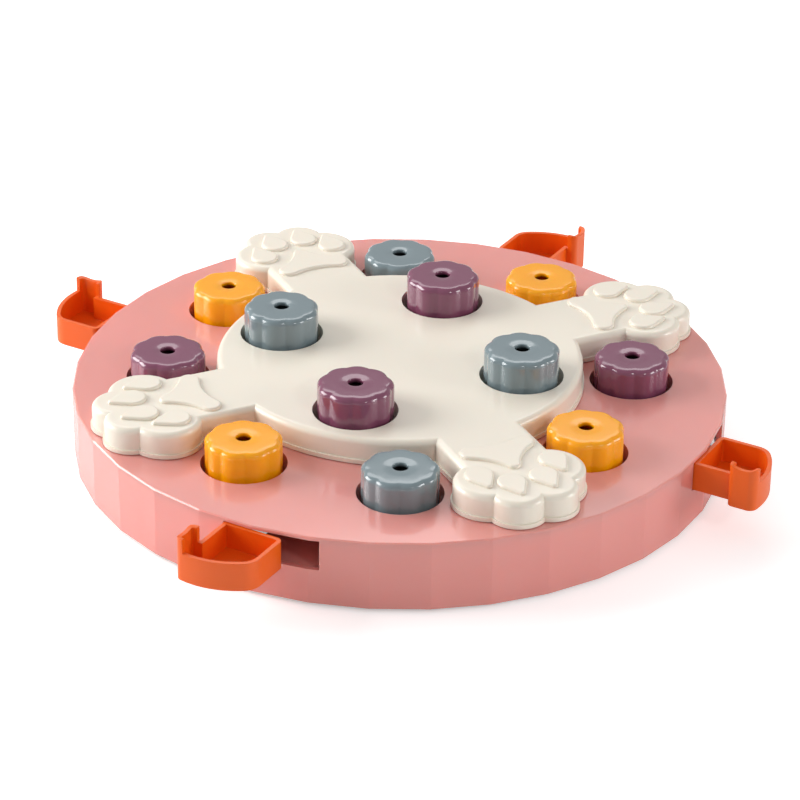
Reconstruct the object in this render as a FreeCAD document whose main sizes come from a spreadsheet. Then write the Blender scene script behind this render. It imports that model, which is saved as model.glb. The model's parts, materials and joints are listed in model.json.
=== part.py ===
import FreeCAD, Part
import math
import os
import Sketcher

# Dog puzzle feeder: a faceted base with treat wells, a paw-shaped disc on its own
# pivot, lift-out hollow caps over the wells and four trays that swing out of the wall.
# Millimetres, +Z up, the floor at Z = 0 and the middle of the base on the Z axis.
# One paw points along +X and everything repeats every quarter turn.

doc = FreeCAD.newDocument("puzzle_feeder")
sizes = doc.addObject("Spreadsheet::Sheet", "Sizes")

DRIVING_SIZES = {
    "facet_count": 36,
    "base_radius": 140.0,
    "base_height": 30.2,
    "floor_gap": 1.8,
    "wall": 2.4,
    "plate": 1.6,
    "cap_radius": 16.1,
    "cap_height": 22.7,
    "cap_wall": 1.7,
    "cap_hole_radius": 3.2,
    "lobe_count": 9,
    "flute_depth": 0.9,
    "flute_radius": 7.5,
    "cap_edge": 2.0,
    "well_gap": 1.8,
    "well_depth": 11.0,
    "well_wall": 1.6,
    "ring_gap": 4.25,
    "outer_angle": 25.05,
    "disc_radius": 78.3,
    "disc_margin": 5.9,
    "disc_rise": 11.7,
    "disc_gap": 0.4,
    "disc_skin": 2.2,
    "disc_edge": 2.6,
    "flange_out": 0.7,
    "flange_height": 1.8,
    "arm_half_width": 19.5,
    "side_toe_x": 112.5,
    "side_toe_y": 13.5,
    "side_toe_radius": 14.7,
    "front_toe_x": 125.3,
    "front_toe_y": 7.2,
    "front_toe_radius": 11.4,
    "toe_pad_radius": 6.1,
    "toe_tip": 1.5,
    "pad_height": 1.4,
    "pad_edge": 1.1,
    "hub_radius": 11.0,
    "hub_fit": 0.08,
    "tray_height": 12.2,
    "tray_wall": 1.8,
    "tray_reach": 34.4,
    "tray_depth": 27.3,
    "hinge_inset": 4.0,
    "hinge_back": 4.5673,
    "hinge_facet": 55.0,
    "tray_gap": 0.35,
    "tab_start": 17.6,
    "tab_out": 4.5,
    "tab_rise": 6.5,
    "pin_radius": 2.0,
    "pin_fit": 0.06,
    "barrel_radius": 3.5,
    "window_slack": 2.8,
    "guard_floor": 1.4,
    "foot_inset": 18.0,
    "foot_radius": 8.0,
}

DERIVED_SIZES = {
    "well_radius": "cap_radius + well_gap",
    "outer_ring": "disc_radius + flange_out + cap_radius + ring_gap",
    "inner_ring": "disc_radius - well_radius - disc_margin",
    "window_width": "tray_reach + hinge_inset + window_slack",
    "foot_ring": "base_radius - foot_inset",
    "hinge_line": "base_radius * cos(180 / facet_count) - hinge_back",
    "deck_bottom": "floor_gap + base_height - plate",
    "arm_split": "disc_radius + 5.7",
    "plate_top": "floor_gap + base_height",
    "inner_wall_radius": "base_radius - wall / cos(180 / facet_count)",
    "well_floor": "plate_top - well_depth",
    "cap_seat_outer": "well_floor + 0.2",
    "disc_bottom": "plate_top + disc_gap",
    "disc_top": "plate_top + disc_rise",
    "cap_seat_inner": "disc_bottom + well_wall - 0.2",
    "cap_bore": "cap_radius - flute_depth - cap_wall",
    "rim_top": "plate_top - plate - tray_gap",
    "tray_bottom": "rim_top - tray_height",
    "barrel_low": "tray_bottom - 0.25",
    "window_low": "tray_bottom - 0.6",
    "hinge_x": "hinge_line * cos(-hinge_facet) - hinge_inset * sin(-hinge_facet)",
    "hinge_y": "hinge_line * sin(-hinge_facet) + hinge_inset * cos(-hinge_facet)",
}


def write_sizes():
    row = 1
    for name, value in DRIVING_SIZES.items():
        sizes.set("A%d" % row, name)
        sizes.set("B%d" % row, str(value))
        sizes.setAlias("B%d" % row, name)
        row += 1
    for name, formula in DERIVED_SIZES.items():
        sizes.set("A%d" % row, name)
        sizes.set("B%d" % row, "=" + formula)
        sizes.setAlias("B%d" % row, name)
        row += 1
    doc.recompute()


write_sizes()


def bound(formula):
    """Return the formula with every size name pointing at the spreadsheet."""
    out = ""
    word = ""
    for letter in formula + " ":
        if letter.isalnum() or letter == "_":
            word += letter
            continue
        if word in DRIVING_SIZES or word in DERIVED_SIZES:
            word = "Sizes." + word
        out += word + letter
        word = ""
    return out.strip()


def value_of(formula):
    """Work a formula out once, to draw a sketch close to its final shape."""
    cell = doc.getObject("Worksheet")
    if cell is None:
        cell = doc.addObject("App::FeaturePython", "Worksheet")
        cell.addProperty("App::PropertyFloat", "Result")
    cell.setExpression("Result", bound(formula))
    cell.recompute()
    return cell.Result


def new_body(name):
    body = doc.addObject("PartDesign::Body", name)
    body.Label = name
    return body


def origin_plane(body, role):
    for item in body.Origin.OriginFeatures:
        if item.Role == role:
            return item
    raise RuntimeError("no plane " + role)


def new_sketch(body, name, height="0", role="XY_Plane"):
    sketch = body.newObject("Sketcher::SketchObject", name)
    sketch.AttachmentSupport = (origin_plane(body, role), [""])
    sketch.MapMode = "FlatFace"
    if height != "0":
        sketch.setExpression("AttachmentOffset.Base.z", bound(height))
    return sketch


def drive(sketch, kind, refs, formula):
    """Add one dimension to a sketch and tie it to the spreadsheet."""
    value = value_of(formula)
    index = sketch.addConstraint(Sketcher.Constraint(kind, *refs, value))
    sketch.setExpression("Constraints[%d]" % index, bound(formula))


def place_point(sketch, geo, pos, x, y):
    """Fix a sketch point by its two distances from the sketch's origin."""
    drive(sketch, "DistanceX", (-1, 1, geo, pos), x)
    drive(sketch, "DistanceY", (-1, 1, geo, pos), y)


def add_circle(sketch, x, y, radius):
    middle = FreeCAD.Vector(value_of(x), value_of(y), 0)
    up = FreeCAD.Vector(0, 0, 1)
    geo = sketch.addGeometry(Part.Circle(middle, up, value_of(radius)), False)
    if x == "0" and y == "0":
        sketch.addConstraint(Sketcher.Constraint("Coincident", geo, 3, -1, 1))
    else:
        place_point(sketch, geo, 3, x, y)
    drive(sketch, "Radius", (geo,), radius)
    return geo


def add_loop(sketch, corners):
    """Draw a closed outline of straight sides through corners given as formulas."""
    points = []
    for x, y in corners:
        points.append(FreeCAD.Vector(value_of(x), value_of(y), 0))
    first = sketch.GeometryCount
    total = len(points)
    for i in range(total):
        side = Part.LineSegment(points[i], points[(i + 1) % total])
        sketch.addGeometry(side, False)
    for i in range(total):
        link = (first + i, 2, first + (i + 1) % total, 1)
        sketch.addConstraint(Sketcher.Constraint("Coincident", *link))
        place_point(sketch, first + i, 1, *corners[i])


def pad(body, sketch, name, length, reverse=False):
    feature = body.newObject("PartDesign::Pad", name)
    feature.Profile = sketch
    feature.setExpression("Length", bound(length))
    feature.Reversed = reverse
    sketch.Visibility = False
    body.Tip = feature
    doc.recompute()
    return feature


def pocket(body, sketch, name, length):
    """Cut along +Z from the sketch's own height, up to the given length."""
    feature = body.newObject("PartDesign::Pocket", name)
    feature.Profile = sketch
    feature.setExpression("Length", bound(length))
    feature.Reversed = True
    sketch.Visibility = False
    body.Tip = feature
    doc.recompute()
    return feature


def quarter_turns(body, name, features):
    pattern = body.newObject("PartDesign::PolarPattern", name)
    pattern.Originals = features
    for item in body.Origin.OriginFeatures:
        if item.Role == "Z_Axis":
            pattern.Axis = (item, [""])
    pattern.Angle = 360
    pattern.Occurrences = 4
    body.Tip = pattern
    doc.recompute()
    return pattern


def edges_where(shape, test):
    names = []
    for number, edge in enumerate(shape.Edges, 1):
        box = edge.BoundBox
        if test(edge, box):
            names.append("Edge%d" % number)
    return names


def round_edges(body, name, test, radius, kind="PartDesign::Fillet"):
    """Round or bevel the edges of the body's last feature that pass the test."""
    tip = body.Tip
    names = edges_where(tip.Shape, test)
    feature = body.newObject(kind, name)
    feature.Base = (tip, names)
    key = "Radius" if kind.endswith("Fillet") else "Size"
    feature.setExpression(key, bound(radius))
    body.Tip = feature
    doc.recompute()
    return feature


def on_level(box, height):
    return abs(box.ZMin - height) < 0.01 and abs(box.ZMax - height) < 0.01


def at_split(box, reach):
    """Tell whether an edge lies on a plane where the disc hands over to a paw."""
    on_x = box.XLength < 0.01 and abs(abs(box.XMin) - reach) < 0.01
    on_y = box.YLength < 0.01 and abs(abs(box.YMin) - reach) < 0.01
    return on_x or on_y


def upright(edge, x, y):
    box = edge.BoundBox
    tall = box.ZMax - box.ZMin > 1.0 and box.XLength < 0.01 and box.YLength < 0.01
    return tall and math.hypot(box.XMin - x, box.YMin - y) < 0.05


def facet_corners(radius, name_count="facet_count"):
    count = int(DRIVING_SIZES[name_count])
    corners = []
    for i in range(count):
        angle = "(%d * 360 / %s + 0.02)" % (i, name_count)
        corners.append((radius + " * cos" + angle, radius + " * sin" + angle))
    return corners


def ring_point(radius, angle):
    return radius + " * cos(" + angle + ")", radius + " * sin(" + angle + ")"


def around_hinge(u, v):
    """Turn a place on the first tray, outward and along the wall, into X and Y."""
    x = "hinge_x + (%s) * cos(-hinge_facet) - (%s) * sin(-hinge_facet)" % (u, v)
    y = "hinge_y + (%s) * sin(-hinge_facet) + (%s) * cos(-hinge_facet)" % (u, v)
    return x, y


def make_deck():
    """The base's thin top: eight well holes, the hub's collar, hinge and foot posts."""
    body = new_body("base_deck")
    outline = new_sketch(body, "deck_outline", "deck_bottom")
    add_loop(outline, facet_corners("base_radius"))
    pad(body, outline, "deck_plate", "plate")
    posts = new_sketch(body, "foot_posts", "3")
    add_circle(posts, "foot_ring", "0.001", "foot_radius - 1")
    post_pad = pad(body, posts, "foot_post", "plate_top - plate / 2 - 3")
    pins = new_sketch(body, "hinge_posts", "barrel_low")
    add_circle(pins, "hinge_x", "hinge_y", "pin_radius")
    pin_pad = pad(body, pins, "hinge_post", "plate_top - plate / 2 - barrel_low")
    quarter_turns(body, "raised_inside", [post_pad, pin_pad])

    holes = new_sketch(body, "well_holes", "deck_bottom - 1")
    for sign in ("", "-"):
        x, y = ring_point("outer_ring", sign + "outer_angle")
        add_circle(holes, x, y, "well_radius")
    well_cut = pocket(body, holes, "well_hole", "plate + 4")
    plugs = new_sketch(body, "foot_bores", "2")
    add_circle(plugs, "foot_ring", "0.001", "2.5")
    plug_cut = pocket(body, plugs, "foot_bore", "8")
    screws = new_sketch(body, "hinge_screw_bores", "barrel_low - 1")
    add_circle(screws, "hinge_x", "hinge_y", "1.15")
    screw_cut = pocket(body, screws, "hinge_screw_bore", "9")
    quarter_turns(body, "cut_outs", [well_cut, plug_cut, screw_cut])

    collar = new_sketch(body, "hub_collar", "plate_top - 6")
    add_circle(collar, "0", "0", "hub_radius + 3")
    pad(body, collar, "hub_ring", "6 - plate / 2")
    bore = new_sketch(body, "hub_bore_outline", "plate_top - 8")
    add_circle(bore, "0", "0", "hub_radius + hub_fit")
    pocket(body, bore, "hub_bore", "12")
    top = value_of("plate_top")
    reach = value_of("base_radius") - 3
    round_edges(
        body, "rim_bevel",
        lambda edge, box: on_level(box, top) and box.Center.Length > reach,
        "0.5", "PartDesign::Chamfer")
    return body


def make_wall():
    """The base's side wall: thirty-six flat facets and four windows, under the deck."""
    body = new_body("base_wall")
    outline = new_sketch(body, "wall_outline", "floor_gap")
    add_loop(outline, facet_corners("base_radius"))
    pad(body, outline, "wall_block", "base_height - plate")
    hollow = new_sketch(body, "wall_hollow", "floor_gap - 1")
    add_loop(hollow, facet_corners("inner_wall_radius"))
    pocket(body, hollow, "wall_inside", "base_height + 2")
    window = new_sketch(body, "windows", "window_low")
    draw_window(window)
    window_cut = pocket(body, window, "window_cut", "plate_top - window_low")
    relief = new_sketch(body, "screw_reliefs", "barrel_low - 2")
    add_circle(relief, "hinge_x", "hinge_y", "3.5")
    relief_cut = pocket(body, relief, "screw_relief", "plate_top - barrel_low")
    quarter_turns(body, "cut_outs_wall", [window_cut, relief_cut])
    return body


def make_guard(name, quarter):
    """The bay a tray swings into: a thin floor level with the window, a curved end wall."""
    body = new_body(name)
    floor = new_sketch(body, name + "_floor_outline", "window_low - guard_floor")
    corners = [
        around_hinge("1.7", "8"),
        around_hinge("-2.4 - 0.17 * (tray_reach - 34.4)", "tray_reach - 2.1"),
    ]
    for angle in range(100, 175, 15):
        corners.append(on_guard(angle))
    corners.append(on_guard(174))
    corners.append(around_hinge("-3", "3.5"))
    add_loop(floor, corners)
    pad(body, floor, name + "_floor", "guard_floor")
    guard = new_sketch(body, name + "_outline", "window_low - guard_floor")
    draw_guard(guard)
    pad(body, guard, name + "_wall", "deck_bottom - window_low + guard_floor")
    body.Placement.Rotation = FreeCAD.Rotation(FreeCAD.Vector(0, 0, 1), quarter * 90)
    return body


def make_base():
    """The base's moulding, drawn as its deck, wall, hanging well cups and guards."""
    parts = [make_deck(), make_wall()]
    cup = [
        ("0.001", "-well_wall"), ("well_radius + well_wall", "-well_wall"),
        ("well_radius + well_wall", "well_depth - plate"),
        ("well_radius", "well_depth - plate"), ("well_radius", "0"), ("0.001", "0"),
    ]
    for i in range(8):
        quarter, side = divmod(i, 2)
        x, y = ring_point("outer_ring", "%d + %s outer_angle" % (quarter * 90, "-+"[side]))
        parts.append(make_turned("well_cup_%d" % (i + 1), cup, x, y, "well_floor"))
    for quarter in range(4):
        parts.append(make_guard("pocket_guard_%d" % (quarter + 1), quarter))
    return parts


def draw_window(sketch):
    """A slot through the wall, from just before the tray's corner to its far end."""
    start = "-hinge_inset - 0.5"
    end = "window_width - hinge_inset"
    corners = [
        around_hinge("-6.5", start),
        around_hinge("12", start),
        around_hinge("6", end),
        around_hinge("-12", end + " - 2"),
    ]
    add_loop(sketch, corners)


def on_guard(angle):
    """A place midway through the end wall, at an angle from the tray's outward line."""
    reach = "(tray_reach + 2.4)"
    return around_hinge("%s * cos(%d)" % (reach, angle), "%s * sin(%d)" % (reach, angle))


def draw_guard(sketch):
    """A curved inner wall that the open pocket ends on, centred on the hinge."""
    inner = value_of("tray_reach + 1.6")
    outer = inner + 1.6
    middle = FreeCAD.Vector(value_of("hinge_x"), value_of("hinge_y"), 0)
    start = math.radians(100 - 55)
    end = math.radians(174 - 55)
    up = FreeCAD.Vector(0, 0, 1)
    for radius in (inner, outer):
        circle = Part.Circle(middle, up, radius)
        sketch.addGeometry(Part.ArcOfCircle(circle, start, end), False)
    for angle in (start, end):
        direction = FreeCAD.Vector(math.cos(angle), math.sin(angle), 0)
        side = Part.LineSegment(middle + direction * inner, middle + direction * outer)
        sketch.addGeometry(side, False)
    for link in ((0, 1, 2, 1), (1, 1, 2, 2), (0, 2, 3, 1), (1, 2, 3, 2)):
        sketch.addConstraint(Sketcher.Constraint("Coincident", *link))
    sketch.addConstraint(Sketcher.Constraint("Coincident", 0, 3, 1, 3))
    place_point(sketch, 0, 3, "hinge_x", "hinge_y")
    drive(sketch, "Radius", (0,), "tray_reach + 1.6")
    drive(sketch, "Radius", (1,), "tray_reach + 3.2")
    place_on_arc(sketch, 0, 1, "100")
    place_on_arc(sketch, 0, 2, "174")
    place_on_arc(sketch, 1, 1, "100")
    place_on_arc(sketch, 1, 2, "174")


def place_on_arc(sketch, geo, pos, angle):
    """Hold an end of a hinge-centred arc at an angle from the tray's outward line."""
    radius = "(tray_reach + 1.6)" if geo == 0 else "(tray_reach + 3.2)"
    x = "hinge_x + " + radius + " * cos(" + angle + " - hinge_facet)"
    drive(sketch, "DistanceX", (-1, 1, geo, pos), x)


def make_disc():
    """The disc: a hollow round cover with four arm roots, four well holes and a hub."""
    body = new_body("paw_disc")
    height = "disc_rise - disc_gap"
    disc_parts(body, "cover", "disc_bottom", height, "0")
    disc_parts(body, "flange", "disc_bottom", "flange_height", "flange_out")
    top = value_of("disc_top")
    split = value_of("arm_split")
    round_edges(
        body, "cover_round",
        lambda edge, box: on_level(box, top) and not at_split(box, split),
        "disc_edge")

    hollow_parts(body)
    hub = new_sketch(body, "hub_outline", "plate_top - 6.4")
    add_circle(hub, "0", "0", "hub_radius")
    pad(body, hub, "hub", "disc_rise + 6.4 - disc_skin / 2")
    wells = new_sketch(body, "disc_wells", "disc_bottom + 1")
    x, y = ring_point("inner_ring", "45")
    add_circle(wells, x, y, "well_radius")
    well_cut = pocket(body, wells, "disc_well", "disc_rise + 4")
    quarter_turns(body, "disc_well_ring", [well_cut])
    bore = new_sketch(body, "hub_screw_bore", "plate_top - 8")
    add_circle(bore, "0", "0", "2.05")
    pocket(body, bore, "hub_screw_hole", "12")

    return body


def make_paw(name, quarter):
    """One paw of the disc, from the arm outward: four toes, toe pads and a palm pad."""
    body = new_body(name)
    paw_parts(body, "cover", "disc_bottom", "disc_rise - disc_gap", "0")
    paw_parts(body, "flange", "disc_bottom", "flange_height", "flange_out")
    top = value_of("disc_top")
    split = value_of("arm_split")
    round_edges(
        body, "cover_round",
        lambda edge, box: on_level(box, top) and not at_split(box, split),
        "disc_edge")
    hollow_paw(body)
    toes = new_sketch(body, "toe_pads", "disc_top - 0.5")
    for side in (1, -1):
        low_y, high_y = "%d * (side_toe_y + 3.1)" % side, "%d * (side_toe_y + 3.4)" % side
        draw_toe(toes, "side_toe_x - 3.2", low_y, "side_toe_x + 9.1", high_y)
        low_y, high_y = "%d * (front_toe_y - 0.1)" % side, "%d * front_toe_y" % side
        draw_toe(toes, "front_toe_x - 5.7", low_y, "front_toe_x + 6.3", high_y)
    pad(body, toes, "toe_pad", "pad_height + 0.5")
    palm = new_sketch(body, "palm_pad_outline", "disc_top - 0.5")
    draw_palm(palm)
    pad(body, palm, "palm_pad", "pad_height + 0.5")
    crest = value_of("disc_top + pad_height")
    tips = []
    for side in (1, -1):
        tips.append((value_of("side_toe_x + 9.1"), side * value_of("side_toe_y + 3.4")))
        tips.append((value_of("front_toe_x + 6.3"), side * value_of("front_toe_y")))
    round_edges(
        body, "toe_tip_round",
        lambda edge, box: any(upright(edge, x, y) for x, y in tips),
        "toe_tip")
    round_edges(
        body, "pad_round",
        lambda edge, box: on_level(box, crest),
        "pad_edge")
    body.Placement.Rotation = FreeCAD.Rotation(FreeCAD.Vector(0, 0, 1), quarter * 90)
    return body


def make_disc_cups():
    """The disc's four well cups, hanging under its skin as part of the same moulding."""
    low = "well_wall - 0.4"
    high = "disc_rise - disc_gap - disc_skin"
    cup = [
        ("0.001", "0"), ("well_radius + well_wall", "0"), ("well_radius + well_wall", high),
        ("well_radius", high), ("well_radius", low), ("0.001", low),
    ]
    cups = []
    for i in range(4):
        x, y = ring_point("inner_ring", "%d - 45" % (i * 90))
        cups.append(make_turned("disc_cup_%d" % (i + 1), cup, x, y, "disc_bottom"))
    return cups


def disc_parts(body, name, level, height, grow):
    """Draw the disc and its four arm roots as one solid, grown outward by grow."""
    middle = new_sketch(body, name + "_middle", level)
    add_circle(middle, "0", "0", "disc_radius + " + grow)
    pad(body, middle, name + "_round", height)
    arm = new_sketch(body, name + "_arm_outline", level)
    side = "arm_half_width + " + grow
    corners = [
        ("disc_radius - 12", side), ("disc_radius - 12", "-(" + side + ")"),
        ("arm_split", "-(" + side + ")"), ("arm_split", side),
    ]
    add_loop(arm, corners)
    arm_pad = pad(body, arm, name + "_arm", height)
    quarter_turns(body, name + "_turns", [arm_pad])


def paw_parts(body, name, level, height, grow):
    """Draw a paw's arm and its four toes as one solid, grown outward by grow."""
    arm = new_sketch(body, name + "_arm_outline", level)
    side = "arm_half_width + " + grow
    corners = [
        ("arm_split", side),
        ("arm_split", "-(" + side + ")"),
        ("side_toe_x", "-(" + side + ")"),
        ("front_toe_x", "-(front_toe_y + " + grow + ")"),
        ("front_toe_x", "front_toe_y + " + grow),
        ("side_toe_x", side),
    ]
    add_loop(arm, corners)
    pad(body, arm, name + "_arm", height)
    for tag, x, y in (("side", "side_toe_x", "side_toe_y"), ("front", "front_toe_x", "front_toe_y")):
        for mark, sign in (("left", ""), ("right", "-")):
            toe = new_sketch(body, name + "_" + tag + "_" + mark + "_outline", level)
            add_circle(toe, x, sign + y, tag + "_toe_radius + " + grow)
            pad(body, toe, name + "_" + tag + "_" + mark, height)


def hollow_parts(body):
    """Clear the underside of the disc and its arm roots, and leave an even skin."""
    level = "disc_bottom - 1"
    depth = "disc_rise - disc_gap - disc_skin + 1"
    middle = new_sketch(body, "hollow_middle", level)
    add_circle(middle, "0", "0", "disc_radius - disc_skin")
    pocket(body, middle, "hollow_round", depth)
    arm = new_sketch(body, "hollow_arm_outline", level)
    side = "arm_half_width - disc_skin"
    corners = [
        ("disc_radius - 12", "-(" + side + ")"), ("arm_split + 1", "-(" + side + ")"),
        ("arm_split + 1", side), ("disc_radius - 12", side),
    ]
    add_loop(arm, corners)
    arm_cut = pocket(body, arm, "hollow_arm", depth)
    quarter_turns(body, "hollow_turns", [arm_cut])


def hollow_paw(body):
    """Clear the underside of a paw in the same way."""
    level = "disc_bottom - 1"
    depth = "disc_rise - disc_gap - disc_skin + 1"
    arm = new_sketch(body, "hollow_arm_outline", level)
    side = "arm_half_width - disc_skin"
    corners = [
        ("arm_split - 1", "-(" + side + ")"), ("side_toe_x", "-(" + side + ")"),
        ("side_toe_x", side), ("arm_split - 1", side),
    ]
    add_loop(arm, corners)
    pocket(body, arm, "hollow_arm", depth)
    for tag, x, y in (("side", "side_toe_x", "side_toe_y"), ("front", "front_toe_x", "front_toe_y")):
        for mark, sign in (("left", ""), ("right", "-")):
            toe = new_sketch(body, "hollow_" + tag + "_" + mark + "_outline", level)
            add_circle(toe, x, sign + y, tag + "_toe_radius - disc_skin")
            pocket(body, toe, "hollow_" + tag + "_" + mark, depth)


def draw_toe(sketch, x, y, tip_x, tip_y):
    """One raised teardrop: a round end towards the palm and a point outward."""
    cx, cy = value_of(x), value_of(y)
    tx, ty = value_of(tip_x), value_of(tip_y)
    radius = value_of("toe_pad_radius")
    reach = math.hypot(tx - cx, ty - cy)
    lean = math.atan2(ty - cy, tx - cx)
    half = math.acos(radius / reach)
    middle = FreeCAD.Vector(cx, cy, 0)
    tip = FreeCAD.Vector(tx, ty, 0)
    circle = Part.Circle(middle, FreeCAD.Vector(0, 0, 1), radius)
    arc = Part.ArcOfCircle(circle, lean + half, lean - half + 2 * math.pi)
    first = sketch.addGeometry(arc, False)
    begin = arc.StartPoint
    finish = arc.EndPoint
    sketch.addGeometry(Part.LineSegment(finish, tip), False)
    sketch.addGeometry(Part.LineSegment(tip, begin), False)
    sketch.addConstraint(Sketcher.Constraint("Tangent", first, 2, first + 1, 1))
    sketch.addConstraint(Sketcher.Constraint("Coincident", first + 1, 2, first + 2, 1))
    sketch.addConstraint(Sketcher.Constraint("Tangent", first + 2, 2, first, 1))
    place_point(sketch, first, 3, x, y)
    place_point(sketch, first + 1, 2, tip_x, tip_y)
    drive(sketch, "Radius", (first,), "toe_pad_radius")


def draw_palm(sketch):
    """The palm pad: two round lobes and a tip, joined by three inward curves."""
    lobe_x, lobe_y, lobe_r = value_of("side_toe_x - 20.3"), 11.9, 4.6
    tip_x, tip_r = value_of("side_toe_x - 5.3"), 3.0
    back_r, side_r = 26.0, 24.0
    up = FreeCAD.Vector(0, 0, 1)
    upper = FreeCAD.Vector(lobe_x, lobe_y, 0)
    lower = FreeCAD.Vector(lobe_x, -lobe_y, 0)
    tip = FreeCAD.Vector(tip_x, 0, 0)
    back = FreeCAD.Vector(lobe_x - math.sqrt((back_r + lobe_r) ** 2 - lobe_y ** 2), 0, 0)
    high = touch_centre(upper, lobe_r, tip, tip_r, side_r, 1)
    low = FreeCAD.Vector(high.x, -high.y, 0)
    chain = [
        (upper, lobe_r, back, high), (high, side_r, upper, tip), (tip, tip_r, high, low),
        (low, side_r, tip, lower), (lower, lobe_r, low, back), (back, back_r, lower, upper),
    ]
    for place, radius, before, after in chain:
        start = math.atan2(before.y - place.y, before.x - place.x)
        end = math.atan2(after.y - place.y, after.x - place.x)
        if place in (upper, tip, lower):
            start, end = end, start
        while end < start:
            end += 2 * math.pi
        circle = Part.Circle(place, up, radius)
        sketch.addGeometry(Part.ArcOfCircle(circle, start, end), False)
    for i in range(6):
        following = (i + 1) % 6
        pair = best_pair(sketch, i, following)
        sketch.addConstraint(Sketcher.Constraint("Tangent", i, pair[0], following, pair[1]))
    place_point(sketch, 0, 3, "side_toe_x - 20.3", "11.9")
    place_point(sketch, 4, 3, "side_toe_x - 20.3", "-11.9")
    place_point(sketch, 2, 3, "side_toe_x - 5.3", "0.001")
    for geo, radius in enumerate(("4.6", "24", "3", "24", "4.6", "26")):
        drive(sketch, "Radius", (geo,), radius)


def best_pair(sketch, first, second):
    """The ends at which two arcs of the palm outline meet."""
    found = None
    for a in (1, 2):
        for b in (1, 2):
            gap = (sketch.getPoint(first, a) - sketch.getPoint(second, b)).Length
            if found is None or gap < found[0]:
                found = (gap, a, b)
    return found[1], found[2]


def touch_centre(one, one_r, two, two_r, radius, side):
    """Centre of a circle that touches two others from outside, on the given side."""
    a = radius + one_r
    b = radius + two_r
    span = (two - one).Length
    along = (a * a - b * b + span * span) / (2 * span)
    off = math.sqrt(a * a - along * along)
    line = (two - one).normalize()
    return one + line * along + FreeCAD.Vector(-line.y, line.x, 0) * off * side


def make_cap(name, x, y, seat, turn):
    """One hollow lift-out cap with fluted sides and a small hole in its top."""
    body = new_body(name)
    outline = new_sketch(body, name + "_outline")
    add_circle(outline, "0", "0", "cap_radius")
    pad(body, outline, name + "_block", "cap_height")
    flute = new_sketch(body, name + "_flute_outline", "-1")
    add_circle(flute, "cap_radius - flute_depth + flute_radius", "0.001", "flute_radius")
    cut = pocket(body, flute, name + "_flute", "cap_height + 2")
    ring = body.newObject("PartDesign::PolarPattern", name + "_flutes")
    ring.Originals = [cut]
    for item in body.Origin.OriginFeatures:
        if item.Role == "Z_Axis":
            ring.Axis = (item, [""])
    ring.Angle = 360
    ring.setExpression("Occurrences", bound("lobe_count"))
    body.Tip = ring
    doc.recompute()
    high = value_of("cap_height")
    round_edges(body, name + "_rim", lambda edge, box: on_level(box, high), "cap_edge")
    inside = new_sketch(body, name + "_inside_outline", "-1")
    add_circle(inside, "0", "0", "cap_bore")
    pocket(body, inside, name + "_inside", "cap_height - 1.8 + 1")
    hole = new_sketch(body, name + "_hole_outline", "cap_height - 4")
    add_circle(hole, "0", "0", "cap_hole_radius")
    pocket(body, hole, name + "_hole", "8")
    body.setExpression("Placement.Base.x", bound(x))
    body.setExpression("Placement.Base.y", bound(y))
    body.setExpression("Placement.Base.z", bound(seat))
    body.Placement.Rotation = FreeCAD.Rotation(FreeCAD.Vector(0, 0, 1), turn)
    return body


def make_caps():
    outer_turns = (14.0, 22.0, 15.7, 27.6, 32.7, 9.1, 0.6, 19.6)
    inner_turns = (11.5, 17.6, 5.5, 22.8)
    caps = []
    for i, turn in enumerate(outer_turns):
        quarter, side = divmod(i, 2)
        angle = "%d + %s outer_angle" % (quarter * 90, "-+"[side])
        x, y = ring_point("outer_ring", angle)
        caps.append(make_cap("outer_cap_%d" % (i + 1), x, y, "cap_seat_outer", turn))
    for i, turn in enumerate(inner_turns):
        x, y = ring_point("inner_ring", "%d - 45" % (i * 90))
        caps.append(make_cap("inner_cap_%d" % (i + 1), x, y, "cap_seat_inner", turn))
    return caps


def tray_outline(sketch, inset):
    """The tray seen from above: two straight walls, a swung wall and the pull tab."""
    reach = "(tray_reach - %s)" % inset
    left = "hinge_inset + " + inset
    near = "-hinge_inset + " + inset
    step = "hinge_inset + tab_start + " + inset
    out = "-hinge_inset - tab_out + " + inset
    far = "tray_depth - hinge_inset - " + inset
    arc_low = "sqrt(%s * %s - (%s) * (%s))" % (reach, reach, out, out)
    arc_high = "sqrt(%s * %s - (%s) * (%s))" % (reach, reach, far, far)
    corners = [
        (arc_high, far), (left, far), (left, near),
        (step, near), (step, out), (arc_low, out),
    ]
    points = [FreeCAD.Vector(value_of(x), value_of(y), 0) for x, y in corners]
    for i in range(5):
        sketch.addGeometry(Part.LineSegment(points[i], points[i + 1]), False)
    circle = Part.Circle(FreeCAD.Vector(0, 0, 0), FreeCAD.Vector(0, 0, 1), value_of(reach))
    start = math.atan2(points[5].y, points[5].x)
    end = math.atan2(points[0].y, points[0].x)
    sketch.addGeometry(Part.ArcOfCircle(circle, start, end), False)
    for i in range(4):
        sketch.addConstraint(Sketcher.Constraint("Coincident", i, 2, i + 1, 1))
    sketch.addConstraint(Sketcher.Constraint("Coincident", 4, 2, 5, 1))
    sketch.addConstraint(Sketcher.Constraint("Coincident", 5, 2, 0, 1))
    sketch.addConstraint(Sketcher.Constraint("Coincident", 5, 3, -1, 1))
    drive(sketch, "Radius", (5,), reach)
    drive(sketch, "DistanceY", (-1, 1, 0, 1), far)
    for i in range(1, 5):
        place_point(sketch, i, 1, *corners[i])
    drive(sketch, "DistanceY", (-1, 1, 4, 2), out)


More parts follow.
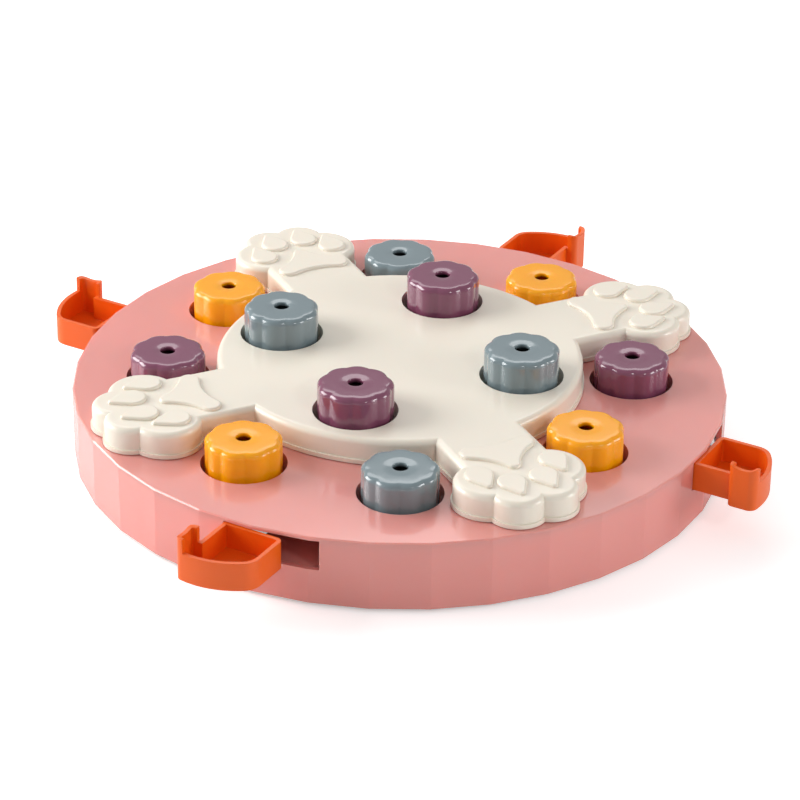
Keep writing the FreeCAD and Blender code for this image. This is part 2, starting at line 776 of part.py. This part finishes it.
def round_tray_corners(body, name, inset):
    """Round the tray's upright corners: the two far ones and the tab's pair."""
    reach = value_of("tray_reach") - inset
    far = value_of("tray_depth - hinge_inset") - inset
    out = value_of("-hinge_inset - tab_out") + inset
    step = value_of("hinge_inset + tab_start") + inset
    left = value_of("hinge_inset") + inset
    spots = (
        ("far", math.sqrt(reach ** 2 - far ** 2), far, 8.0 - inset),
        ("back", left, far, 2.8 - inset),
        ("tab_low", step, out, 2.6 - inset),
        ("tab_high", math.sqrt(reach ** 2 - out ** 2), out, 3.6 - inset),
    )
    for tag, x, y, radius in spots:
        round_edges(
            body, name + "_" + tag,
            lambda edge, box, x=x, y=y: upright(edge, x, y),
            "%.2f" % radius)


def make_tray(name, quarter):
    """One swing-out tray, drawn round its own hinge axis at the open position."""
    body = new_body(name)
    block = new_sketch(body, name + "_outline")
    tray_outline(block, "0")
    pad(body, block, name + "_block", "tray_height + tab_rise")
    round_tray_corners(body, name + "_outer", 0.0)
    inside = new_sketch(body, name + "_inside_outline", "tray_wall")
    tray_outline(inside, "tray_wall")
    pocket(body, inside, name + "_inside", "tray_height + tab_rise + 4")
    round_tray_corners(body, name + "_inner", value_of("tray_wall"))
    lower = new_sketch(body, name + "_rim_outline", "tray_height")
    add_loop(lower, [
        ("0", "-hinge_inset - 0.5"), ("60", "-hinge_inset - 0.5"),
        ("60", "60"), ("0", "60"),
    ])
    pocket(body, lower, name + "_rim", "tab_rise + 4")
    dish = new_sketch(body, name + "_dish_outline", "0", "XZ_Plane")
    add_circle(dish, "hinge_inset + tab_start + 6.4", "tray_height + tab_rise + 14", "15")
    scoop = body.newObject("PartDesign::Pocket", name + "_dish")
    scoop.Profile = dish
    scoop.Midplane = True
    scoop.Length = 80
    dish.Visibility = False
    body.Tip = scoop
    barrel = new_sketch(body, name + "_barrel_outline")
    add_circle(barrel, "0", "0", "barrel_radius")
    pad(body, barrel, name + "_barrel", "tray_height")
    web = new_sketch(body, name + "_web_outline")
    add_loop(web, [
        ("0.001", "-barrel_radius"), ("hinge_inset + 0.5", "-barrel_radius"),
        ("hinge_inset + 0.5", "barrel_radius"), ("0.001", "barrel_radius"),
    ])
    pad(body, web, name + "_web", "tray_height")
    bore = new_sketch(body, name + "_bore_outline", "-1")
    add_circle(bore, "0", "0", "pin_radius + pin_fit")
    pocket(body, bore, name + "_bore", "tray_height + 2")
    turn = "%d" % (quarter * 90)
    x = "hinge_x * cos(%s) - hinge_y * sin(%s)" % (turn, turn)
    y = "hinge_x * sin(%s) + hinge_y * cos(%s)" % (turn, turn)
    body.setExpression("Placement.Base.x", bound(x))
    body.setExpression("Placement.Base.y", bound(y))
    body.setExpression("Placement.Base.z", bound("tray_bottom"))
    heading = quarter * 90 - DRIVING_SIZES["hinge_facet"]
    body.Placement.Rotation = FreeCAD.Rotation(FreeCAD.Vector(0, 0, 1), heading)
    return body


def make_turned(name, profile, x, y, z):
    """A small round piece, turned from corner points of radius and height."""
    body = new_body(name)
    sketch = new_sketch(body, name + "_profile", "0", "XZ_Plane")
    add_loop(sketch, profile)
    turned = body.newObject("PartDesign::Revolution", name + "_turned")
    turned.Profile = sketch
    turned.ReferenceAxis = (sketch, ["V_Axis"])
    turned.Angle = 360
    sketch.Visibility = False
    body.Tip = turned
    body.setExpression("Placement.Base.x", bound(x))
    body.setExpression("Placement.Base.y", bound(y))
    body.setExpression("Placement.Base.z", bound(z))
    doc.recompute()
    return body


def make_small_parts():
    """The rubber feet, the screws under the hinges and the disc's washer and screw."""
    parts = []
    foot = [
        ("0.001", "0"), ("foot_radius - 0.8", "0"), ("foot_radius", "0.8"),
        ("foot_radius", "3"), ("2.4", "3"), ("2.4", "9"), ("0.001", "9"),
    ]
    screw = [
        ("0.001", "-1.6"), ("2.4", "-1.6"), ("3.2", "-0.8"), ("3.2", "0"),
        ("1.1", "0"), ("1.1", "7"), ("0.001", "7"),
    ]
    for quarter in range(4):
        turn = "%d" % (quarter * 90)
        x, y = ring_point("foot_ring", turn)
        parts.append(make_turned("rubber_foot_%d" % (quarter + 1), foot, x, y, "0.0"))
        x = "hinge_x * cos(%s) - hinge_y * sin(%s)" % (turn, turn)
        y = "hinge_x * sin(%s) + hinge_y * cos(%s)" % (turn, turn)
        parts.append(make_turned("hinge_screw_%d" % (quarter + 1), screw, x, y, "barrel_low"))
    washer = [("2.2", "-2"), ("hub_radius + 5", "-2"), ("hub_radius + 5", "0"), ("2.2", "0")]
    parts.append(make_turned("hub_washer", washer, "0", "0", "plate_top - 6.4"))
    big_screw = [
        ("0.001", "-4.6"), ("3.4", "-4.6"), ("4.4", "-3.6"), ("4.4", "-2"),
        ("2", "-2"), ("2", "8"), ("0.001", "8"),
    ]
    parts.append(make_turned("hub_screw", big_screw, "0", "0", "plate_top - 6.4"))
    return parts


def check_and_write(parts):
    doc.recompute()
    for item in doc.Objects:
        state = " ".join(item.State)
        if "Invalid" in state or "Error" in state:
            raise RuntimeError(item.Name + " is " + state)
    os.makedirs("parts", exist_ok=True)
    for part in parts:
        if not part.Shape.isValid() or len(part.Shape.Solids) != 1:
            raise RuntimeError(part.Label + " is not one valid solid")
        part.Shape.exportStep("parts/" + part.Label + ".step")


all_parts = make_base() + [make_disc()] + make_disc_cups()
for paw_number in range(4):
    all_parts.append(make_paw("paw_%d" % (paw_number + 1), paw_number))
all_parts += make_caps()
for tray_number in range(4):
    all_parts.append(make_tray("tray_%d" % (tray_number + 1), tray_number))
all_parts += make_small_parts()
check_and_write(all_parts)
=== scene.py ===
import json
import math

import bmesh
import bpy
from mathutils import Matrix, Vector


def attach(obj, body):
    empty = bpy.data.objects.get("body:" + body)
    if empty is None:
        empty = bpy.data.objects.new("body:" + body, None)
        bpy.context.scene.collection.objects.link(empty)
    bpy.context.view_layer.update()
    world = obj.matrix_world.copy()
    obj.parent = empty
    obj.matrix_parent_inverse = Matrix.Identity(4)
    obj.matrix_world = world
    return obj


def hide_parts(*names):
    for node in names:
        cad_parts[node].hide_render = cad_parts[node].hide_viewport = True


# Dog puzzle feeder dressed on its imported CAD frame: glossy moulded plastics, finer
# lift-out caps, a pale studio floor and a camera at the photograph's angle. Sizes are
# in millimetres where they are multiplied by MM, and in metres otherwise.

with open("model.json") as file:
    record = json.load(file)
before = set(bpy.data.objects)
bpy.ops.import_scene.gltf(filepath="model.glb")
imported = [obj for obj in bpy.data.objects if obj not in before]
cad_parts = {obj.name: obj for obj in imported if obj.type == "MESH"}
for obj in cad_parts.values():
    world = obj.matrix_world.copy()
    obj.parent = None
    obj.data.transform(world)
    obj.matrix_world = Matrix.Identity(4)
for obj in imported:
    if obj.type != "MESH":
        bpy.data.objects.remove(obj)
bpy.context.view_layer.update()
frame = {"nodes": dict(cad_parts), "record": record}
MM = 0.001
WHITE = (1.0, 1.0, 1.0, 1.0)

# sizes shared with the CAD part, in millimetres and degrees
OUTER_RING = 99.35
OUTER_ANGLE = 25.05
INNER_RING = 54.5
INNER_ANGLE = -45
QUARTER = 90
CAP_HEIGHT = 22.7
OUTER_SEAT = 21.2
INNER_SEAT = 33.8
CAP_RIDGE = 16.1
CAP_VALLEY = 15.2
CAP_LOBES = 9
CAP_BORE = 13.5
CAP_HOLE = 3.2
CAP_TOP_SKIN = 1.8
FIRST_RIDGE = 20
OUTER_TURNS = (14.0, 22.0, 15.7, 27.6, 32.7, 9.1, 0.6, 19.6)
INNER_TURNS = (11.5, 17.6, 5.5, 22.8)

# what the finer caps add: broad ridges, a rounded rim and a barely crowned top
STEPS_PER_LOBE = 20
RIDGE_BREADTH = 0.6
RIM_ROUND = 2.5
RIM_STEPS = 7
RIM_CROWN = 0.985
RIM_START = 2.7
SIDE_LOOPS = (6.0, 13.0)

# colours as they read on screen
PINK = (0.930, 0.605, 0.575)
CREAM = (0.930, 0.895, 0.835)
YELLOW = (1.000, 0.660, 0.010)
PURPLE = (0.500, 0.275, 0.375)
SLATE = (0.480, 0.540, 0.560)
ORANGE = (0.925, 0.380, 0.030)
RUBBER = (0.300, 0.280, 0.280)
STEEL = (0.620, 0.620, 0.630)

# noises, each as a scale and a detail
CLOUD = (14.0, 2.0)
STREAK = (45.0, 3.0)
SCUFF = (650.0, 5.0)
PEEL = (380.0, 1.0)
DUST = (260.0, 5.0)
TURNING = (700.0, 4.0)

# how far each trace in the plastic goes
CLOUD_SHADES = (0.985, 1.012)
STREAK_SHADES = (0.965, 1.0)
STREAK_MIX = 0.25
SCUFF_SHARES = (0.92, 1.12)
PEEL_STRENGTH = 0.02
PEEL_DEPTH = 0.0003
PLASTIC_IOR = 1.49
COAT_ROUGH = 0.06
GLOW_RADIUS = (1.0, 0.45, 0.3)
GLOW_DEPTH = 0.002
EDGE_SAMPLES = 4

# glow is how translucent a plastic is, and flow the upward scale of its streaks
PLASTICS = {
    "pink_shell": dict(
        colour=PINK, rough=0.20, coat=0.45, glow=0.45, flow=0.15, depth=0.005),
    "cream_disc": dict(colour=CREAM, rough=0.30, coat=0.20, glow=0.10),
    "yellow_cap": dict(colour=YELLOW, rough=0.22, coat=0.20, glow=0.25, flow=0.1),
    "purple_cap": dict(colour=PURPLE, rough=0.17, coat=0.60, flow=0.1),
    "slate_cap": dict(colour=SLATE, rough=0.17, coat=0.60, flow=0.1),
    "orange_tray": dict(
        colour=ORANGE, rough=0.38, coat=0.08, glow=0.15, flow=0.2, soft_edge=0.00045),
}

# rubber's dusty shades and roughness, and the steel's turned finish
DUST_SHADES = (0.8, 1.5)
DUST_ROUGH = (0.65, 0.9)
TURNING_FLOW = (1.0, 1.0, 0.1)
TURNING_ROUGH = (0.22, 0.42)

# the studio: the world's level on the toy, and what the camera sees as white
WORLD_LEVEL = 0.42
SEEN_LEVEL = 1.0
FLOOR_GLOW = 0.42
FLOOR_REACH = 4.0
FLOOR_COLOUR = (0.9, 0.9, 0.9, 1.0)
FLOOR_ROUGH = 0.9
FLOOR_SHEEN = 0.1

# lights: name, place in the photograph's axes, size, and power in watts
LIGHTS = (
    ("key_left", (-1.30, 0.20, 0.60), (1.0, 0.8), 22.0),
    ("top_back", (-0.25, 1.05, 1.10), (1.5, 0.6), 6.0),
    ("side_right", (1.30, -0.20, 0.35), (0.5, 0.5), 6.0),
    ("small_right", (0.62, -0.95, 0.80), (0.16, 0.12), 1.6),
)
LIGHT_AIM = (0, 0, 0.03)

# the photograph's camera, worked out from the base's facets and the caps
PHOTO_TURN = 64.47
CAMERA_RISE = 28.14
CAMERA_ROLL = -0.86
CAMERA_DISTANCE = 1373.53
CAMERA_RIGHT = 0.22
CAMERA_UP = 16.89
FOCAL_PIXELS = 3165.08
PHOTO_PIXELS = 800
FLOOR_GAP = 1.8
SENSOR_WIDTH = 36.0
CLIP_END = 20.0


def linear(colour):
    """Turn a colour read on screen into the scene's linear values."""
    out = []
    for c in colour:
        out.append(c / 12.92 if c < 0.04045 else ((c + 0.055) / 1.055) ** 2.4)
    return tuple(out) + (1.0,)


def scaled(colour, factor):
    """A linear colour made darker or lighter, and never above 1."""
    return tuple(min(1.0, c * factor) for c in colour[:3]) + (1.0,)


def new_material(name):
    material = bpy.data.materials.new(name)
    material.use_nodes = True
    shader = material.node_tree.nodes["Principled BSDF"]
    return material, material.node_tree, shader


def object_place(tree):
    return tree.nodes.new("ShaderNodeTexCoord").outputs["Object"]


def noise(tree, source, grain, stretch=None):
    """A noise texture read in object space, with its own scale on each axis if asked."""
    node = tree.nodes.new("ShaderNodeTexNoise")
    node.inputs["Scale"].default_value, node.inputs["Detail"].default_value = grain
    if stretch is None:
        tree.links.new(source, node.inputs["Vector"])
        return node.outputs["Fac"]
    squeeze = tree.nodes.new("ShaderNodeMapping")
    squeeze.inputs["Scale"].default_value = stretch
    tree.links.new(source, squeeze.inputs["Vector"])
    tree.links.new(squeeze.outputs["Vector"], node.inputs["Vector"])
    return node.outputs["Fac"]


def ramp(tree, value, low, high, from_low=0.3, from_high=0.7):
    """Spread a value from its own range, by default a noise's middle, over a new one."""
    node = tree.nodes.new("ShaderNodeMapRange")
    node.inputs["From Min"].default_value = from_low
    node.inputs["From Max"].default_value = from_high
    node.inputs["To Min"].default_value = low
    node.inputs["To Max"].default_value = high
    tree.links.new(value, node.inputs["Value"])
    return node.outputs["Result"]


def shades(tree, base, factors, value):
    """A colour that drifts between two shades of itself with a noise."""
    mix = tree.nodes.new("ShaderNodeMix")
    mix.data_type = "RGBA"
    mix.inputs["A"].default_value = scaled(base, factors[0])
    mix.inputs["B"].default_value = scaled(base, factors[1])
    tree.links.new(ramp(tree, value, 0.0, 1.0), mix.inputs["Factor"])
    return mix.outputs["Result"]


def streaked(tree, colour, streak):
    """Darken a colour a little along the flow marks."""
    tint = tree.nodes.new("ShaderNodeMix")
    tint.data_type = "RGBA"
    tint.blend_type = "MULTIPLY"
    tint.inputs["Factor"].default_value = STREAK_MIX
    shade = tree.nodes.new("ShaderNodeCombineColor")
    level = ramp(tree, streak, *STREAK_SHADES)
    for channel in ("Red", "Green", "Blue"):
        tree.links.new(level, shade.inputs[channel])
    tree.links.new(colour, tint.inputs["A"])
    tree.links.new(shade.outputs["Color"], tint.inputs["B"])
    return tint.outputs["Result"]


def orange_peel(tree, place, soft_edge):
    """The faint unevenness of a moulded face, with softened edges if asked."""
    bump = tree.nodes.new("ShaderNodeBump")
    if soft_edge:
        soft = tree.nodes.new("ShaderNodeBevel")
        soft.samples = EDGE_SAMPLES
        soft.inputs["Radius"].default_value = soft_edge
        tree.links.new(soft.outputs["Normal"], bump.inputs["Normal"])
    bump.inputs["Strength"].default_value = PEEL_STRENGTH
    bump.inputs["Distance"].default_value = PEEL_DEPTH
    tree.links.new(noise(tree, place, PEEL), bump.inputs["Height"])
    return bump.outputs["Normal"]


def moulded(name, colour, rough, coat, glow=0.0, flow=1, depth=GLOW_DEPTH, soft_edge=0.0):
    """Injection-moulded plastic: a trace of cloudiness and flow, scuffs, orange peel."""
    material, tree, shader = new_material(name)
    place = object_place(tree)
    cloudy = shades(tree, linear(colour), CLOUD_SHADES, noise(tree, place, CLOUD))
    streak = noise(tree, place, STREAK, (1.0, 1.0, flow))
    tree.links.new(streaked(tree, cloudy, streak), shader.inputs["Base Color"])
    smooth, worn = [rough * share for share in SCUFF_SHARES]
    scuff = noise(tree, place, SCUFF)
    tree.links.new(ramp(tree, scuff, smooth, worn), shader.inputs["Roughness"])
    tree.links.new(orange_peel(tree, place, soft_edge), shader.inputs["Normal"])
    shader.inputs["IOR"].default_value = PLASTIC_IOR
    shader.inputs["Coat Weight"].default_value = coat
    shader.inputs["Coat Roughness"].default_value = COAT_ROUGH
    if glow:
        shader.inputs["Subsurface Weight"].default_value = glow
        shader.inputs["Subsurface Radius"].default_value = GLOW_RADIUS
        shader.inputs["Subsurface Scale"].default_value = depth
    return material


def rubber_material():
    """Matt rubber, dusty in places."""
    material, tree, shader = new_material("foot_rubber")
    dust = noise(tree, object_place(tree), DUST)
    dusty = shades(tree, linear(RUBBER), DUST_SHADES, dust)
    tree.links.new(dusty, shader.inputs["Base Color"])
    tree.links.new(ramp(tree, dust, *DUST_ROUGH), shader.inputs["Roughness"])
    return material


def steel_material():
    """Steel with a turned finish."""
    material, tree, shader = new_material("screw_steel")
    turned = noise(tree, object_place(tree), TURNING, TURNING_FLOW)
    shader.inputs["Base Color"].default_value = linear(STEEL)
    shader.inputs["Metallic"].default_value = 1.0
    tree.links.new(ramp(tree, turned, *TURNING_ROUGH), shader.inputs["Roughness"])
    return material


MATERIALS = {name: moulded(name, **look) for name, look in PLASTICS.items()}
MATERIALS["foot_rubber"] = rubber_material()
MATERIALS["steel"] = steel_material()


def slot_of(node):
    for entry in frame["record"]["subparts"]:
        if entry["node"] == node:
            return entry["material_slot"]
    raise KeyError(node)


def dress(obj, slot):
    obj.data.materials.clear()
    obj.data.materials.append(MATERIALS[slot])


def dress_cad_nodes():
    for name, obj in frame["nodes"].items():
        dress(obj, slot_of(name))


def add_object(name, mesh):
    """Turn a finished bmesh into an object of the scene."""
    data = bpy.data.meshes.new(name)
    mesh.to_mesh(data)
    mesh.free()
    obj = bpy.data.objects.new(name, data)
    bpy.context.scene.collection.objects.link(obj)
    return obj


def ridge_radius(angle):
    """Distance of the fluted side from the cap's axis, in millimetres."""
    wave = 0.5 + 0.5 * math.cos(CAP_LOBES * angle)
    return CAP_VALLEY + (CAP_RIDGE - CAP_VALLEY) * wave ** RIDGE_BREADTH


def cap_profile():
    """The cap's section, up its side, over the rim, down the hole and back inside.

    Each point has a kind, a reach and a height in millimetres. The reach of "in" is an
    inset from the fluted side, and that of "at" a radius that is the same all round.
    """
    points = [("in", 0.5, 0.0), ("in", 0.12, 0.12), ("in", 0.0, 0.5)]
    points += [("in", 0.0, height) for height in SIDE_LOOPS]
    points.append(("in", 0.0, CAP_HEIGHT - RIM_START))
    for i in range(1, RIM_STEPS + 1):
        turn = math.radians(90 * i / RIM_STEPS)
        inset = RIM_ROUND * (1 - math.cos(turn))
        rise = RIM_ROUND * math.sin(turn) * RIM_CROWN
        points.append(("in", inset, CAP_HEIGHT - RIM_ROUND + rise))
    points += [("in", 4.0, CAP_HEIGHT - 0.01), ("at", 8.0, CAP_HEIGHT)]
    for widening, drop in ((0.4, 0.0), (0.12, 0.1), (0.0, 0.35), (0.0, 0.8)):
        points.append(("at", CAP_HOLE + widening, CAP_HEIGHT - drop))
    under = CAP_HEIGHT - CAP_TOP_SKIN
    points.append(("at", CAP_HOLE, under))
    for narrowing, drop in ((1.0, 0.0), (0.2, 0.3), (0.0, 1.2)):
        points.append(("at", CAP_BORE - narrowing, under - drop))
    points += [("at", CAP_BORE, 0.6), ("at", CAP_BORE + 0.3, 0.0)]
    return points


def cap_ring(mesh, point, centre, turn):
    """One closed loop of the cap's vertices, at one point of its section."""
    kind, reach, height = point
    x, y, seat = centre
    steps = CAP_LOBES * STEPS_PER_LOBE
    ring = []
    for i in range(steps):
        angle = 2 * math.pi * i / steps
        radius = ridge_radius(angle) - reach if kind == "in" else reach
        heading = angle + math.radians(turn + FIRST_RIDGE)
        spot = (x + radius * math.cos(heading), y + radius * math.sin(heading), seat + height)
        ring.append(mesh.verts.new(Vector(spot) * MM))
    return ring


def make_cap(kind, number, centre, turn):
    """A finer lift-out cap with smooth waves round its side, in place of its CAD node."""
    node = "%s_%d" % (kind, number)
    mesh = bmesh.new()
    rings = [cap_ring(mesh, point, centre, turn) for point in cap_profile()]
    for low, high in zip(rings, rings[1:] + rings[:1]):
        for i in range(len(low)):
            j = (i + 1) % len(low)
            mesh.faces.new((low[i], low[j], high[j], high[i]))
    bmesh.ops.recalc_face_normals(mesh, faces=mesh.faces)
    obj = add_object("%s_look_%d" % (kind, number), mesh)
    obj.data.shade_smooth()
    dress(obj, slot_of(node))
    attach(obj, node + "_body")
    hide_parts(node)


def on_ring(ring, degrees, seat):
    """A cap's centre on its circle of wells, at the height of its seat."""
    angle = math.radians(degrees)
    return ring * math.cos(angle), ring * math.sin(angle), seat


def make_caps():
    for i, turn in enumerate(OUTER_TURNS):
        quarter, side = divmod(i, 2)
        degrees = quarter * QUARTER + (-OUTER_ANGLE, OUTER_ANGLE)[side]
        make_cap("outer_cap", i + 1, on_ring(OUTER_RING, degrees, OUTER_SEAT), turn)
    for i, turn in enumerate(INNER_TURNS):
        degrees = i * QUARTER + INNER_ANGLE
        make_cap("inner_cap", i + 1, on_ring(INNER_RING, degrees, INNER_SEAT), turn)


def make_floor():
    """A pale floor that the camera sees as white, with the object's soft shadow on it."""
    mesh = bmesh.new()
    bmesh.ops.create_grid(mesh, x_segments=1, y_segments=1, size=FLOOR_REACH)
    floor = add_object("floor", mesh)
    material, tree, shader = new_material("floor_pale")
    shader.inputs["Base Color"].default_value = FLOOR_COLOUR
    shader.inputs["Roughness"].default_value = FLOOR_ROUGH
    shader.inputs["Specular IOR Level"].default_value = FLOOR_SHEEN
    shader.inputs["Emission Color"].default_value = WHITE
    ray = tree.nodes.new("ShaderNodeLightPath").outputs["Is Camera Ray"]
    glow = ramp(tree, ray, 0.0, FLOOR_GLOW, 0.0, 1.0)
    tree.links.new(glow, shader.inputs["Emission Strength"])
    floor.data.materials.append(material)


def make_world():
    """Even pale surroundings that light the object softly and look white behind it."""
    world = bpy.data.worlds.new("studio")
    world.use_nodes = True
    tree = world.node_tree
    back = tree.nodes["Background"]
    back.inputs["Color"].default_value = WHITE
    ray = tree.nodes.new("ShaderNodeLightPath")
    seen = tree.nodes.new("ShaderNodeMath")
    seen.operation = "MAXIMUM"
    tree.links.new(ray.outputs["Is Camera Ray"], seen.inputs[0])
    tree.links.new(ray.outputs["Is Transmission Ray"], seen.inputs[1])
    level = ramp(tree, seen.outputs["Value"], WORLD_LEVEL, SEEN_LEVEL, 0.0, 1.0)
    tree.links.new(level, back.inputs["Strength"])
    bpy.context.scene.world = world


def photo_axes():
    """The photograph's right, up and backward directions in the object's frame."""
    rise = math.radians(CAMERA_RISE)
    spin = Matrix.Rotation(math.radians(PHOTO_TURN), 3, "Z")
    back = spin @ Vector((0, -math.cos(rise), math.sin(rise)))
    right = spin @ Vector((1, 0, 0))
    up = spin @ Vector((0, math.sin(rise), math.cos(rise)))
    return right, up, back


def make_camera():
    right, up, back = photo_axes()
    place = back * CAMERA_DISTANCE + right * CAMERA_RIGHT + up * CAMERA_UP
    place.z += FLOOR_GAP
    roll = math.radians(CAMERA_ROLL)
    across = right * math.cos(roll) - up * math.sin(roll)
    above = right * math.sin(roll) + up * math.cos(roll)
    data = bpy.data.cameras.new("camera")
    data.sensor_width = SENSOR_WIDTH
    data.lens = FOCAL_PIXELS * data.sensor_width / PHOTO_PIXELS
    data.clip_end = CLIP_END
    camera = bpy.data.objects.new("camera", data)
    matrix = Matrix((across, above, back)).transposed().to_4x4()
    matrix.translation = place * MM
    camera.matrix_world = matrix
    bpy.context.scene.collection.objects.link(camera)
    bpy.context.scene.camera = camera


def add_light(name, spot, size, power):
    """A rectangular soft light, placed in the photograph's axes and aimed at the toy."""
    data = bpy.data.lights.new(name, "AREA")
    data.shape = "RECTANGLE"
    data.size, data.size_y = size
    data.energy = power
    lamp = bpy.data.objects.new(name, data)
    spin = Matrix.Rotation(math.radians(PHOTO_TURN), 3, "Z")
    lamp.location = spin @ Vector(spot)
    aim = Vector(LIGHT_AIM) - lamp.location
    lamp.rotation_euler = aim.to_track_quat("-Z", "Y").to_euler()
    bpy.context.scene.collection.objects.link(lamp)


dress_cad_nodes()
make_caps()
make_floor()
make_world()
make_camera()
for light in LIGHTS:
    add_light(*light)
bpy.context.scene.view_settings.view_transform = "Standard"
